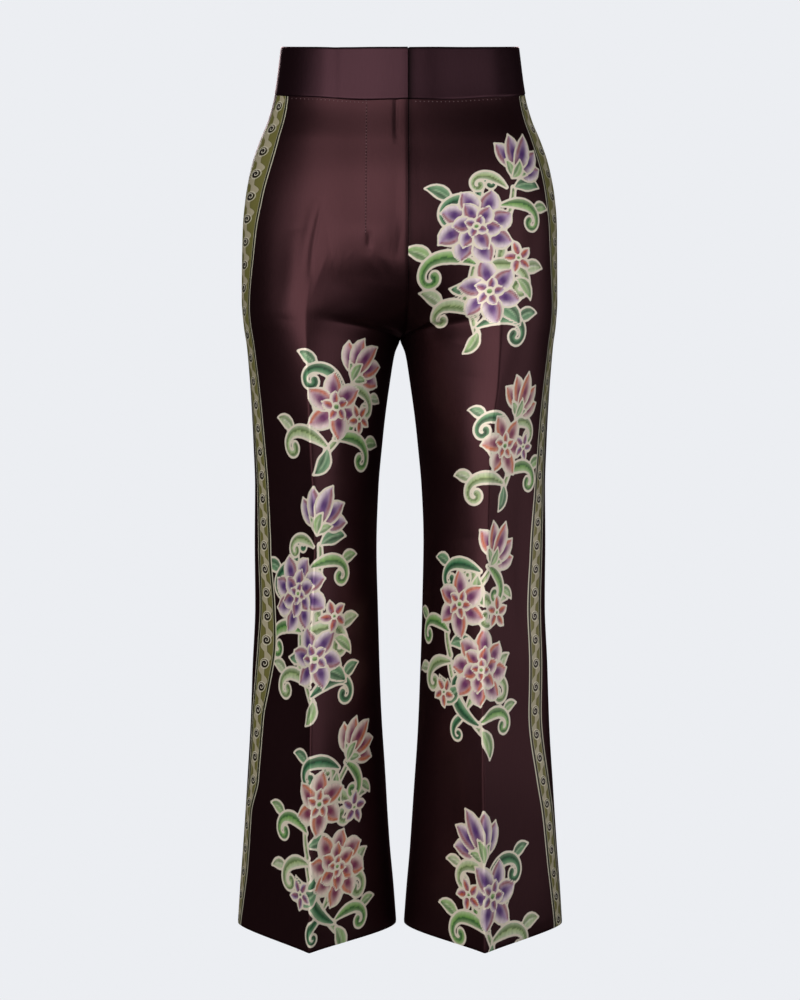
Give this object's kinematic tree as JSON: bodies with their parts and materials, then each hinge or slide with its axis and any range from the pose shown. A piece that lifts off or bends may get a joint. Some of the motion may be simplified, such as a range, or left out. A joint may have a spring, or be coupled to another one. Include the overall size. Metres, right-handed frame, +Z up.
{
  "type": "cropped trousers",
  "caption": "High-waisted cropped trousers with flared legs, pressed creases and a plain waistband, hollow as if worn.",
  "frame": {"origin": "middle of the waistband at its mid-height, level with the side seams, where the wearer's waist holds the trousers up", "axes": "+Z up along the length of the legs, -Y out of the front, +X towards the wearer's left"},
  "size_m": [0.3504, 0.249, 0.9648],
  "materials": {
    "printed_satin": "satin with a printed flower pattern",
    "band_satin": "plain satin",
    "thread": "sewing thread"
  },
  "bodies": {
    "root": {"front_right": "printed_satin", "front_left": "printed_satin", "back_right": "printed_satin", "back_left": "printed_satin", "waistband_right": "band_satin", "waistband_left": "band_satin"}
  },
  "joints": []
}
